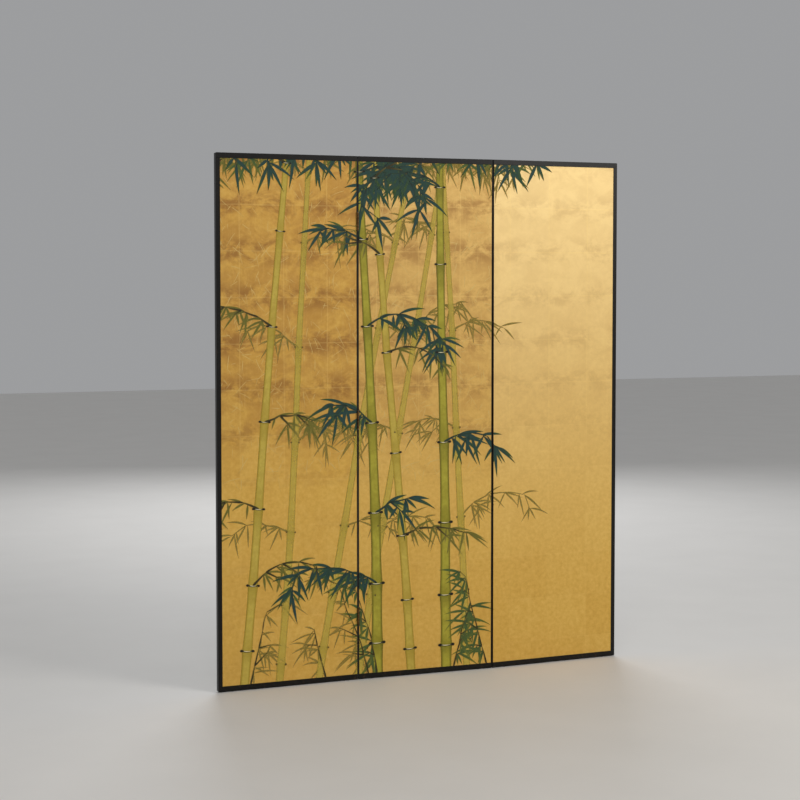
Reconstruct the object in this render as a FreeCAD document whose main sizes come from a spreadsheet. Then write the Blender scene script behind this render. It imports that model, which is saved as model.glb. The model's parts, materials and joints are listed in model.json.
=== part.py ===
"""Three-leaf folding screen: gilded boards in a thin black lacquer frame, hinged edge to edge.

Frame of the part: +X runs along the screen, to the right of someone facing it; -Y points at that
person; +Z is up. The origin is on the floor, in the middle of the footprint. Lengths are millimetres.

Each leaf is drawn in its own flat coordinates (x from its left edge, y from its front face, z from
the floor) and each hinge about its own pin. Both are then swung into the open, zigzag stance.
"""
import FreeCAD, Part
import Sketcher
import os
import re

from FreeCAD import Placement, Rotation, Vector

SIZES = [
    ("screen_height", 1800, "floor to the top of the leaves"),
    ("leaf_width", 498, "one leaf, edge to edge"),
    ("leaf_depth", 20, "front of the frame to its back"),
    ("fold_gap", 3, "space between two leaves lying flat"),
    ("left_heading", 1.9, "degrees that the left leaf is swung forward from flat"),
    ("right_heading", 3.1, "degrees that the right leaf is swung back from flat"),
    ("rail_face", 18, "top and bottom rails, seen from the front"),
    ("stile_face", 15, "the two outer stiles, seen from the front"),
    ("edge_thick", 2, "thin strip that edges a leaf at a fold"),
    ("corner_round", 3.5, "rounding of the screen's outer corners"),
    ("arris_round", 0.8, "rounding along the edges of the frame"),
    ("front_reveal", 1.2, "frame in front of the gilded face"),
    ("back_reveal", 1, "frame behind the back panel"),
    ("gilded_thick", 3, "gilded front panel"),
    ("backing_thick", 3, "back panel"),
    ("panel_clear", 0.2, "joint line round both panels"),
    ("core_stile_width", 38, "upright of the hidden core"),
    ("core_rail_width", 30, "cross rail of the hidden core"),
    ("core_rail_count", 11, "cross rails in each core"),
    ("dowel_radius", 3, "dowel between a rail and a core stile"),
    ("dowel_length", 36, "whole dowel"),
    ("dowel_bite", 12, "part of the dowel inside the rail"),
    ("dowel_clear", 0.05, "glue line round a dowel"),
    ("glide_radius", 7, "nail-on glide under the bottom rail"),
    ("glide_height", 2, "glide below the rail"),
    ("glide_inset", 50, "end of the leaf to the middle of a glide"),
    ("nail_radius", 1.2, "nail of the glide"),
    ("nail_length", 10, "nail inside the rail"),
    ("nail_clear", 0.05, "space round the nail"),
    ("hinge_height", 62, "plate and barrel of a hinge"),
    ("hinge_inset", 222, "end of the screen to the middle of the end hinges"),
    ("knuckle_radius", 3.5, "barrel of a hinge"),
    ("knuckle_clear", 0.25, "barrel to the face of the leaf and to the other plate"),
    ("knuckle_gap", 0.2, "between two knuckles, along the pin"),
    ("plate_thick", 1.2, "hinge plate"),
    ("plate_depth", 14, "hinge plate, in from the face of the leaf"),
    ("pin_radius", 1.5, "hinge pin"),
    ("pin_clear", 0.05, "running clearance round the pin"),
    ("pin_head_radius", 2.6, "peened head at each end of the pin"),
    ("pin_head_height", 1.2, "the same, along the pin"),
    ("screw_radius", 1.4, "hinge screw"),
    ("screw_length", 15, "hinge screw with its head"),
    ("screw_head_radius", 2.4, "countersunk head"),
    ("screw_pitch", 22, "between the screws of one plate"),
    ("screw_clear", 0.05, "space round a screw"),
    ("slot_width", 0.7, "slot in a screw head"),
    ("slot_depth", 0.5, "the same, into the head"),
    ("neck_overlap", 0.5, "how far the neck of a knuckle runs into its plate"),
    ("drill_past", 1, "how much deeper a blind hole is than what it holds"),
]

KNUCKLES = 5
WING_KNUCKLES = (0, 2, 4)
CENTRE_KNUCKLES = (1, 3)
SCREWS_PER_PLATE = 3
LEVELS = {"lower": -1, "waist": 0, "upper": 1}

# Formulas that several pieces share.
CORE_FRONT = "(front_reveal + gilded_thick)"
CORE_DEPTH = "(leaf_depth - front_reveal - gilded_thick - backing_thick - back_reveal)"
OPENING_FLOOR = "(glide_height + rail_face)"
OPENING_HEIGHT = "(screen_height - glide_height - 2 * rail_face)"
PIN_OFFSET = "(knuckle_radius + knuckle_clear)"
HINGE_PITCH = "(screen_height / 2 - hinge_inset)"
KNUCKLE_PITCH = f"(hinge_height / {KNUCKLES})"
SCREW_LINE = f"({PIN_OFFSET} + plate_depth / 2)"
CORE_MIDDLE = f"({CORE_FRONT} + {CORE_DEPTH} / 2)"
DOWEL_HOLE = "(dowel_radius + dowel_clear)"
SCREW_HOLE = "(screw_radius + screw_clear)"

doc = FreeCAD.newDocument("FoldingScreen")
sheet = doc.addObject("Spreadsheet::Sheet", "Sizes")
for row, (alias, value, meaning) in enumerate(SIZES, start=1):
    sheet.set(f"A{row}", meaning)
    sheet.set(f"B{row}", str(value))
    sheet.setAlias(f"B{row}", alias)
doc.recompute()

ALIASES = {alias for alias, value, meaning in SIZES}
nodes = []


def on_sheet(formula):
    """The formula with each alias written the way FreeCAD's expressions read it."""
    return re.sub(r"[a-z_]+", lambda word: f"Sizes.{word[0]}" if word[0] in ALIASES else word[0], formula)


def bind(thing, prop, formula):
    thing.setExpression(prop, on_sheet(formula))


def now(formula):
    """What the formula gives at the sheet's present values."""
    return float(sheet.evalExpression(on_sheet(formula)))


# ---- drawing helpers --------------------------------------------------------------------------

def new_node(label):
    """An empty body that becomes one node. It may hold several separate solids of one kind."""
    body = doc.addObject("PartDesign::Body", label)
    body.Label = label
    body.AllowCompound = True
    nodes.append(body)
    return body


def origin_feature(body, role):
    return next(feature for feature in body.Origin.OriginFeatures if feature.Role == role)


def new_sketch(body, role, at):
    """A sketch parallel to one of the body's own planes, moved by three formulas in its own axes."""
    sketch = body.newObject("Sketcher::SketchObject", f"{body.Label}_sketch")
    sketch.AttachmentSupport = [(origin_feature(body, role), "")]
    sketch.MapMode = "FlatFace"
    for axis, formula in zip("xyz", at):
        bind(sketch, f"AttachmentOffset.Base.{axis}", formula)
    return sketch


def dimension(sketch, kind, name, formula, *where):
    index = sketch.addConstraint(Sketcher.Constraint(kind, *where, now(formula)))
    sketch.renameConstraint(index, name)
    bind(sketch, f"Constraints.{name}", formula)


def locate(sketch, index, point, x, y):
    """Ties one point of a piece of geometry to two formulas; "0" puts it on the sketch's axis."""
    for kind, letter, formula, axis in (("DistanceX", "x", x, -2), ("DistanceY", "y", y, -1)):
        if formula == "0":
            sketch.addConstraint(Sketcher.Constraint("PointOnObject", index, point, axis))
        else:
            dimension(sketch, kind, f"{letter}{index}", formula, -1, 1, index, point)


def outline(sketch, points):
    """A closed outline of straight lines through the points, each a pair of formulas."""
    corners = [Vector(now(x), now(y), 0) for x, y in points]
    count = len(corners)
    for i in range(count):
        sketch.addGeometry(Part.LineSegment(corners[i], corners[(i + 1) % count]))
    for i in range(count):
        sketch.addConstraint(Sketcher.Constraint("Coincident", i, 2, (i + 1) % count, 1))
    for i, (x, y) in enumerate(points):
        locate(sketch, i, 1, x, y)


def rectangle(sketch, width, height):
    outline(sketch, [("0", "0"), (width, "0"), (width, height), ("0", height)])


def circles(sketch, centres, radius):
    """Circles at the centres, each a pair of formulas, all of one radius."""
    for i, (x, y) in enumerate(centres):
        sketch.addGeometry(Part.Circle(Vector(now(x), now(y), 0), Vector(0, 0, 1), now(radius)))
        dimension(sketch, "Radius", f"r{i}", radius, i)
        locate(sketch, i, 3, x, y)


def pad(body, sketch, length):
    feature = body.newObject("PartDesign::Pad", f"{body.Label}_pad")
    feature.Profile = sketch
    bind(feature, "Length", length)
    doc.recompute()


def pocket(body, sketch, depth, along_normal=False):
    """Cuts the sketch into the body, against the sketch's normal unless along_normal is set."""
    before = body.Shape.Volume
    feature = body.newObject("PartDesign::Pocket", f"{body.Label}_pocket")
    feature.Profile = sketch
    feature.Reversed = along_normal
    bind(feature, "Length", depth)
    doc.recompute()
    if not body.Shape.Volume < before:
        raise RuntimeError(f"a pocket in {body.Label} cuts nothing")
    return feature


def rounded(body, radius, chosen):
    """A fillet on the edges of the body's present shape for which chosen(edge) is true."""
    tip = body.Tip
    names = [f"Edge{i}" for i, edge in enumerate(tip.Shape.Edges, start=1) if chosen(edge)]
    feature = body.newObject("PartDesign::Fillet", f"{body.Label}_fillet")
    feature.Base = (tip, names)
    bind(feature, "Radius", radius)
    doc.recompute()


def repeated(body, originals, role, count, spacing, second=None):
    """Copies features along an origin axis; second is a count and a spacing for rows of rows."""
    feature = body.newObject("PartDesign::LinearPattern", f"{body.Label}_row")
    feature.Originals = originals
    feature.Direction = (origin_feature(body, role), [""])
    feature.Mode = "Spacing"
    bind(feature, "Occurrences", count)
    bind(feature, "Offset", spacing)
    if second:
        feature.Direction2 = (origin_feature(body, role), [""])
        feature.Mode2 = "Spacing"
        bind(feature, "Occurrences2", second[0])
        bind(feature, "Offset2", second[1])
    body.Tip = feature
    doc.recompute()


def board(label, at, width, depth, height):
    """A node that starts as a square-edged board, its low corner at three formulas."""
    body = new_node(label)
    sketch = new_sketch(body, "XY_Plane", at)
    rectangle(sketch, width, depth)
    pad(body, sketch, height)
    return body


def is_level(edge, z):
    """True if the edge lies flat at height z."""
    return edge.BoundBox.ZLength < 1e-6 and abs(edge.CenterOfMass.z - z) < 1e-6


def lies_in_face(edge, y):
    """True if the edge lies in the upright plane at this y."""
    box = edge.BoundBox
    return abs(box.YMin - y) < 1e-6 and abs(box.YMax - y) < 1e-6


def round_arrises(body):
    """Rounds every edge in the front and back faces of a frame piece."""
    depth = now("leaf_depth")
    rounded(body, "arris_round", lambda edge: lies_in_face(edge, 0) or lies_in_face(edge, depth))


# ---- one leaf ---------------------------------------------------------------------------------

class Leaf:
    """A leaf's name, which of its sides are outer ones, and the room that leaves for the panels."""

    def __init__(self, name, outer_left, outer_right):
        self.name = name
        self.outer_left = outer_left
        self.outer_right = outer_right
        self.left_margin = "stile_face" if outer_left else "edge_thick"
        self.right_margin = "stile_face" if outer_right else "edge_thick"
        self.opening = f"(leaf_width - {self.left_margin} - {self.right_margin})"
        self.core_lines = (
            f"({self.left_margin} + core_stile_width / 2)",
            f"(leaf_width - {self.right_margin} - core_stile_width / 2)",
        )
        self.glide_lines = ("glide_inset", "(leaf_width - glide_inset)")


def frame_rail(leaf, which):
    """Top or bottom rail: rounded outer corners, blind dowel holes, and nail holes if it is the bottom."""
    top = which == "top"
    floor = "(screen_height - rail_face)" if top else "glide_height"
    body = board(f"{leaf.name}_{which}_rail", ("0", "0", floor), "leaf_width", "leaf_depth", "rail_face")
    outer_z = now("screen_height") if top else now("glide_height")
    outer_x = [now("leaf_width")] * leaf.outer_right + [0.0] * leaf.outer_left

    def is_outer_corner(edge):
        at_end = any(abs(edge.CenterOfMass.x - x) < 1e-6 for x in outer_x)
        return at_end and is_level(edge, outer_z)

    if outer_x:
        rounded(body, "corner_round", is_outer_corner)
    round_arrises(body)
    inner_z = "(screen_height - rail_face)" if top else OPENING_FLOOR
    holes = new_sketch(body, "XY_Plane", ("0", "0", inner_z))
    circles(holes, [(x, CORE_MIDDLE) for x in leaf.core_lines], DOWEL_HOLE)
    pocket(body, holes, "dowel_bite", along_normal=top)
    if not top:
        nail_holes = new_sketch(body, "XY_Plane", ("0", "0", "glide_height"))
        circles(nail_holes, [(x, "(leaf_depth / 2)") for x in leaf.glide_lines], "(nail_radius + nail_clear)")
        pocket(body, nail_holes, "(nail_length + drill_past)", along_normal=True)


def hinge_middle(level):
    """Height of the middle of a hinge; level is -1, 0 or 1."""
    return f"(screen_height / 2 + ({level}) * {HINGE_PITCH})"


def screw_heights(level):
    """Heights of the screws of one hinge plate."""
    first = -(SCREWS_PER_PLATE - 1) / 2
    return [f"({hinge_middle(level)} + ({first + i}) * screw_pitch)" for i in range(SCREWS_PER_PLATE)]


def screw_holes(body, line_y, face_x, depth, into_plus_x):
    """Holes for every hinge screw of one fold, from an upright face at face_x."""
    holes = new_sketch(body, "YZ_Plane", ("0", "0", face_x))
    circles(holes, [(line_y, z) for level in LEVELS.values() for z in screw_heights(level)], SCREW_HOLE)
    pocket(body, holes, depth, along_normal=into_plus_x)


def frame_side(leaf, side, screw_y):
    """An outer stile, or at a fold a thin edge strip that the hinge screws pass through."""
    outer = leaf.outer_left if side == "left" else leaf.outer_right
    margin = leaf.left_margin if side == "left" else leaf.right_margin
    kind = "outer_stile" if outer else f"{side}_fold_edge"
    at_x = "0" if side == "left" else f"(leaf_width - {margin})"
    body = board(f"{leaf.name}_{kind}", (at_x, "0", OPENING_FLOOR), margin, "leaf_depth", OPENING_HEIGHT)
    depth = now("leaf_depth")
    open_x = 0.0 if side == "left" else now("leaf_width")

    def is_arris(edge):
        in_face = lies_in_face(edge, 0) or lies_in_face(edge, depth)
        upright = edge.BoundBox.ZLength > now(OPENING_HEIGHT) / 2
        return in_face and upright and (outer or abs(edge.CenterOfMass.x - open_x) < 1e-6)

    rounded(body, "arris_round", is_arris)
    if not outer:
        screw_holes(body, screw_y, at_x, margin, into_plus_x=True)


def core_stile(leaf, side, screw_y):
    """Upright of the core: dowel holes in both ends, and screw holes where a hinge bites."""
    outer = leaf.outer_left if side == "left" else leaf.outer_right
    at_x = leaf.left_margin if side == "left" else f"(leaf_width - {leaf.right_margin} - core_stile_width)"
    corner = (at_x, CORE_FRONT, OPENING_FLOOR)
    body = board(f"{leaf.name}_core_{side}_stile", corner, "core_stile_width", CORE_DEPTH, OPENING_HEIGHT)
    centre = [(f"({at_x} + core_stile_width / 2)", CORE_MIDDLE)]
    dowel_depth = "(dowel_length - dowel_bite)"
    for end, upwards in ((OPENING_FLOOR, True), (f"({OPENING_FLOOR} + {OPENING_HEIGHT})", False)):
        hole = new_sketch(body, "XY_Plane", ("0", "0", end))
        circles(hole, centre, DOWEL_HOLE)
        pocket(body, hole, dowel_depth, along_normal=upwards)
    if not outer:
        face_x = at_x if side == "left" else f"(leaf_width - {leaf.right_margin})"
        bite = "(screw_length - plate_thick - edge_thick + drill_past)"
        screw_holes(body, screw_y, face_x, bite, into_plus_x=side == "left")


def core_rails(leaf):
    """The evenly spaced cross rails between the two core stiles."""
    width = f"({leaf.opening} - 2 * core_stile_width)"
    at = (f"({leaf.left_margin} + core_stile_width)", CORE_FRONT, OPENING_FLOOR)
    body = board(f"{leaf.name}_core_rails", at, width, CORE_DEPTH, "core_rail_width")
    spacing = f"(({OPENING_HEIGHT} - core_rail_width) / (core_rail_count - 1))"
    repeated(body, [body.Tip], "Z_Axis", "core_rail_count", spacing)


def dowels(leaf):
    """Four dowels, one at each end of each core stile."""
    body = new_node(f"{leaf.name}_dowels")
    sketch = new_sketch(body, "XY_Plane", ("0", "0", f"({OPENING_FLOOR} - dowel_bite)"))
    circles(sketch, [(x, CORE_MIDDLE) for x in leaf.core_lines], "dowel_radius")
    pad(body, sketch, "dowel_length")
    to_upper_dowels = f"({OPENING_HEIGHT} + 2 * dowel_bite - dowel_length)"
    repeated(body, [body.Tip], "Z_Axis", "2", to_upper_dowels)


def panel(leaf, label, front, thickness):
    """A thin board that fills the leaf's opening, with a joint line all round."""
    corner = (f"({leaf.left_margin} + panel_clear)", front, f"({OPENING_FLOOR} + panel_clear)")
    width = f"({leaf.opening} - 2 * panel_clear)"
    board(f"{leaf.name}_{label}", corner, width, thickness, f"({OPENING_HEIGHT} - 2 * panel_clear)")


def glides(leaf):
    """Two nail-on glides: a disc to stand on and a nail up into the rail."""
    body = new_node(f"{leaf.name}_glides")
    centres = [(x, "(leaf_depth / 2)") for x in leaf.glide_lines]
    disc = new_sketch(body, "XY_Plane", ("0", "0", "0"))
    circles(disc, centres, "glide_radius")
    pad(body, disc, "glide_height")
    rounded(body, "(glide_height / 4)", lambda edge: is_level(edge, 0))
    nail = new_sketch(body, "XY_Plane", ("0", "0", "glide_height"))
    circles(nail, centres, "nail_radius")
    pad(body, nail, "nail_length")


def build_leaf(leaf, left_screw_y, right_screw_y):
    frame_rail(leaf, "top")
    frame_rail(leaf, "bottom")
    frame_side(leaf, "left", left_screw_y)
    frame_side(leaf, "right", right_screw_y)
    panel(leaf, "gilded_panel", "front_reveal", "gilded_thick")
    panel(leaf, "back_panel", "(leaf_depth - back_reveal - backing_thick)", "backing_thick")
    core_stile(leaf, "left", left_screw_y)
    core_stile(leaf, "right", right_screw_y)
    core_rails(leaf)
    dowels(leaf)
    glides(leaf)


# ---- one hinge, about its own pin: +Y runs into the fold, the wing leaf is on the -X side --------

def hinge_plate(label, wing, level):
    """A plate with its knuckles. The wing plate has the end knuckles, the centre plate the others."""
    body = new_node(label)
    low_x = "(-fold_gap / 2)" if wing else "(fold_gap / 2 - plate_thick)"
    foot = f"({hinge_middle(level)} - hinge_height / 2)"

    plate = new_sketch(body, "YZ_Plane", (PIN_OFFSET, foot, low_x))
    rectangle(plate, "plate_depth", "hinge_height")
    pad(body, plate, "plate_thick")
    for knuckle in WING_KNUCKLES if wing else CENTRE_KNUCKLES:
        low = f"({foot} + {knuckle} * {KNUCKLE_PITCH} + knuckle_gap / 2)"
        length = f"({KNUCKLE_PITCH} - knuckle_gap)"
        neck = new_sketch(body, "YZ_Plane", ("0", low, low_x))
        rectangle(neck, f"({PIN_OFFSET} + neck_overlap)", length)
        pad(body, neck, "plate_thick")
        barrel = new_sketch(body, "XY_Plane", ("0", "0", low))
        circles(barrel, [("0", "0")], "knuckle_radius")
        pad(body, barrel, length)
    bore = new_sketch(body, "XY_Plane", ("0", "0", foot))
    circles(bore, [("0", "0")], "(pin_radius + pin_clear)")
    pocket(body, bore, "hinge_height", along_normal=True)

    # Countersunk holes: straight through, then a chamfer on the side that faces the other plate.
    holes = new_sketch(body, "YZ_Plane", ("0", "0", low_x))
    circles(holes, [(SCREW_LINE, z) for z in screw_heights(level)], SCREW_HOLE)
    pocket(body, holes, "plate_thick", along_normal=True)
    open_x = now("plate_thick - fold_gap / 2") * (1 if wing else -1)

    def is_rim(edge):
        box = edge.BoundBox
        in_open_face = abs(box.XMin - open_x) < 1e-6 and abs(box.XMax - open_x) < 1e-6
        return in_open_face and abs(box.YLength - 2 * now(SCREW_HOLE)) < 1e-6

    before = body.Tip
    rims = [f"Edge{i}" for i, edge in enumerate(before.Shape.Edges, start=1) if is_rim(edge)]
    countersink = body.newObject("PartDesign::Chamfer", f"{label}_countersink")
    countersink.Base = (before, rims)
    bind(countersink, "Size", "(screw_head_radius - screw_radius)")
    doc.recompute()


def hinge_pin(label, level):
    """The pin, peened over at both ends."""
    body = new_node(label)
    foot = f"({hinge_middle(level)} - hinge_height / 2)"
    shaft = new_sketch(body, "XY_Plane", ("0", "0", foot))
    circles(shaft, [("0", "0")], "pin_radius")
    pad(body, shaft, "hinge_height")
    for low in (f"({foot} - pin_head_height)", f"({foot} + hinge_height)"):
        head = new_sketch(body, "XY_Plane", ("0", "0", low))
        circles(head, [("0", "0")], "pin_head_radius")
        pad(body, head, "pin_head_height")
    ends = (now(f"{foot} - pin_head_height"), now(f"{foot} + hinge_height + pin_head_height"))
    rounded(body, "(pin_head_height / 2)", lambda edge: any(is_level(edge, z) for z in ends))


def hinge_screws(label, wing):
    """All the screws of one side of a fold: slotted, countersunk, pointing into the leaf."""
    body = new_node(label)
    sign = -1 if wing else 1
    open_x = f"({-sign} * (plate_thick - fold_gap / 2))"
    first = screw_heights(LEVELS["lower"])[0]
    profile = new_sketch(body, "XZ_Plane", (open_x, first, f"(-{SCREW_LINE})"))
    outline(profile, [
        ("0", "0"),
        (f"({sign} * screw_length)", "0"),
        (f"({sign} * (screw_length - screw_radius))", "screw_radius"),
        (f"({sign} * (screw_head_radius - screw_radius))", "screw_radius"),
        ("0", "screw_head_radius"),
    ])
    turned = body.newObject("PartDesign::Revolution", f"{label}_turned")
    turned.Profile = profile
    turned.ReferenceAxis = (profile, ["H_Axis"])
    turned.Angle = 360
    doc.recompute()
    corner = (f"({SCREW_LINE} - slot_width / 2)", f"({first} - screw_head_radius)", open_x)
    slot = new_sketch(body, "YZ_Plane", corner)
    rectangle(slot, "slot_width", "(2 * screw_head_radius)")
    cut = pocket(body, slot, "slot_depth", along_normal=not wing)
    rows = (str(len(LEVELS)), HINGE_PITCH)
    repeated(body, [turned, cut], "Z_Axis", str(SCREWS_PER_PLATE), "screw_pitch", rows)


# ---- the whole screen ---------------------------------------------------------------------------

FRONT_SCREWS = f"({SCREW_LINE} - {PIN_OFFSET})"
BACK_SCREWS = f"(leaf_depth - {FRONT_SCREWS})"

build_leaf(Leaf("left", True, False), "0", FRONT_SCREWS)
build_leaf(Leaf("middle", False, False), FRONT_SCREWS, BACK_SCREWS)
build_leaf(Leaf("right", False, True), BACK_SCREWS, "0")

for fold in ("left_fold", "right_fold"):
    for level_name, level in LEVELS.items():
        hinge_plate(f"{fold}_{level_name}_wing_plate", True, level)
        hinge_plate(f"{fold}_{level_name}_centre_plate", False, level)
        hinge_pin(f"{fold}_{level_name}_pin", level)
    hinge_screws(f"{fold}_wing_screws", True)
    hinge_screws(f"{fold}_centre_screws", False)

doc.recompute()


def turn(degrees):
    return Placement(Vector(0, 0, 0), Rotation(Vector(0, 0, 1), degrees))


def shift(x, y):
    return Placement(Vector(x, y, 0), Rotation())


half_pitch = now("(leaf_width + fold_gap) / 2")
pin_offset = now(PIN_OFFSET)
depth = now("leaf_depth")
# The left fold has its pins in front of the leaves, the right fold behind them.
left_pin = shift(-half_pitch, -pin_offset)
right_pin = shift(half_pitch, depth + pin_offset)
left_swing = left_pin * turn(now("left_heading"))
right_swing = right_pin * turn(now("right_heading"))

STANCE = {
    "middle_": shift(-now("leaf_width") / 2, 0),
    "left_fold_wing": left_swing,
    "left_fold_centre": left_pin,
    "right_fold_wing": right_swing * turn(180),
    "right_fold_centre": right_pin * turn(180),
    "left_": left_swing * shift(-now("leaf_width + fold_gap / 2"), pin_offset),
    "right_": right_swing * shift(now("fold_gap / 2"), -depth - pin_offset),
}


def stance_of(label):
    """Where a node stands, found from its name: a leaf's own place, or one side of a fold."""
    for fold in ("left_fold", "right_fold"):
        if label.startswith(fold) and not label.endswith("fold_edge"):
            return STANCE[f"{fold}_{'wing' if 'wing' in label else 'centre'}"]
    return STANCE[label.split("_")[0] + "_"]


for body in nodes:
    body.Placement = stance_of(body.Label)
doc.recompute()

footprint = FreeCAD.BoundBox()
for body in nodes:
    footprint.add(body.Shape.BoundBox)
centre = shift(-footprint.Center.x, -footprint.Center.y)
for body in nodes:
    body.Placement = centre * body.Placement
doc.recompute()

for thing in doc.Objects:
    if "Invalid" in thing.State or "Error" in thing.State:
        raise RuntimeError(f"{thing.Label} failed: {thing.State}")
os.makedirs("parts", exist_ok=True)
for body in nodes:
    if body.Shape.isNull() or not body.Shape.isValid():
        raise RuntimeError(f"{body.Label} has no valid shape")
    body.Shape.exportStep(f"parts/{body.Label}.step")
for name, pin in (("left fold", left_pin), ("right fold", right_pin)):
    place = centre * pin
    print(f"{name} pins stand at x {place.Base.x:.4f}, y {place.Base.y:.4f}")
print(len(nodes), "nodes")
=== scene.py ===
"""A three-leaf folding screen: black lacquer frames, gold leaf faces painted with bamboo.

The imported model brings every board, panel, plate, pin, screw and glide. This script gives them
their finishes, and lays the painting on the gold as thin brush strokes that ride with each leaf.
"""

import json
import math
import random

import bpy
from mathutils import Matrix, Vector


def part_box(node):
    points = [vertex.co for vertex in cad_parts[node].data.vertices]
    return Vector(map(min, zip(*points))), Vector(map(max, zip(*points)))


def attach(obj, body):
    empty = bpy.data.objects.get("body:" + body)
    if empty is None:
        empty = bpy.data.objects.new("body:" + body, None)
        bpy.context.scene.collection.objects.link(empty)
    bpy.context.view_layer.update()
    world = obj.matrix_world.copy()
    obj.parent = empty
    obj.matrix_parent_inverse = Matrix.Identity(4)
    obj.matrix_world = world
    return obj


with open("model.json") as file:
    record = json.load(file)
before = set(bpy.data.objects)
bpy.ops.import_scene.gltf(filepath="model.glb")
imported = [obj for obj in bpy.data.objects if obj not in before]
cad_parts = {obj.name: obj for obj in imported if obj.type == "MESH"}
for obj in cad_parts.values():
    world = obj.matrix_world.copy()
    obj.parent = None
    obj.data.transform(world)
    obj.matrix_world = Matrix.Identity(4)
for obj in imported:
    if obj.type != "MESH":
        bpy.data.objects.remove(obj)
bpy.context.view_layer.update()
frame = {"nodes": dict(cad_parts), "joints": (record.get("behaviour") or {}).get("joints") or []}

MM = 0.001

# ---------------------------------------------------------------- places on the opened screen
# The painting is laid out on the screen opened flat, in millimetres: across from its left edge,
# and up from the floor.
PAINT_DEPTH = 0.35
GOLD_LOW, GOLD_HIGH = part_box("middle_gilded_panel")
SCREEN_WIDTH = 1500
OUTER_EDGE = 15.2  # from the screen's edge to its gold
FOLD_LINE = 7.4  # from gold to gold across a fold
FACE_FOOT, FACE_HEAD = GOLD_LOW.z / MM, GOLD_HIGH.z / MM
MIDDLE_START, MIDDLE_END = (at.x / MM + SCREEN_WIDTH / 2 for at in (GOLD_LOW, GOLD_HIGH))
FACE_OF_LEAF = {
    "left": (OUTER_EDGE, MIDDLE_START - FOLD_LINE),
    "middle": (MIDDLE_START, MIDDLE_END),
    "right": (MIDDLE_END + FOLD_LINE, SCREEN_WIDTH - OUTER_EDGE),
}
FOLDS = {joint["child"]: joint for joint in frame["joints"]}

# ---------------------------------------------------------------- hand tools


def put_down():
    """Leaves nothing selected."""
    if bpy.context.object and bpy.context.object.mode != "OBJECT":
        bpy.ops.object.mode_set(mode="OBJECT")
    bpy.ops.object.select_all(action="DESELECT")


def pick_up(piece):
    """Selects one piece and nothing else."""
    put_down()
    bpy.context.view_layer.objects.active = piece
    piece.select_set(True)


def select_points(piece, wanted):
    """Selects the points of a piece in edit mode by their place."""
    bpy.ops.object.mode_set(mode="OBJECT")
    for part in (piece.data.polygons, piece.data.edges):
        part.foreach_set("select", [False] * len(part))
    for point in piece.data.vertices:
        point.select = wanted(point.co)
    bpy.ops.object.mode_set(mode="EDIT")


def settle(piece):
    """Puts the piece's place into its mesh."""
    pick_up(piece)
    bpy.ops.object.transform_apply(location=True, rotation=True, scale=True)
    return piece


def sides_of(breadths, rows, name):
    """A flat blank one unit long, drawn in to the given breadths along its length."""
    put_down()
    columns = len(breadths)
    bpy.ops.mesh.primitive_grid_add(
        x_subdivisions=columns - 1, y_subdivisions=rows, size=1, location=(0.5, 0, 0)
    )
    blank = settle(bpy.context.object)
    bpy.ops.object.mode_set(mode="EDIT")
    bpy.ops.mesh.select_mode(type="VERT")
    half_step = 0.5 / (columns - 1)
    for column, breadth in enumerate(breadths):
        middle = column / (columns - 1)
        select_points(blank, lambda spot: abs(spot.x - middle) < half_step)
        bpy.ops.transform.resize(value=(1, breadth, 1), center_override=(middle, 0, 0))
    bpy.ops.object.mode_set(mode="OBJECT")
    shape = blank.data.copy()
    shape.name = name
    bpy.data.objects.remove(blank)
    return shape


# ---------------------------------------------------------------- wiring a finish


class Flow:
    """One output in a finish, so that a pattern reads as arithmetic."""

    def __init__(self, finish, socket):
        self.finish = finish
        self.socket = socket

    def sum(self, operation, first, second=0.0):
        """Joins two values with one arithmetic step."""
        return self.finish.node("Math", {"operation": operation}, {0: first, 1: second})

    def __add__(self, other):
        return self.sum("ADD", self, other)

    def __radd__(self, other):
        return self.sum("ADD", other, self)

    def __sub__(self, other):
        return self.sum("SUBTRACT", self, other)

    def __rsub__(self, other):
        return self.sum("SUBTRACT", other, self)

    def __mul__(self, other):
        return self.sum("MULTIPLY", self, other)

    def __rmul__(self, other):
        return self.sum("MULTIPLY", other, self)

    def __truediv__(self, other):
        return self.sum("DIVIDE", self, other)

    def __pow__(self, other):
        return self.sum("POWER", self, other)


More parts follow.
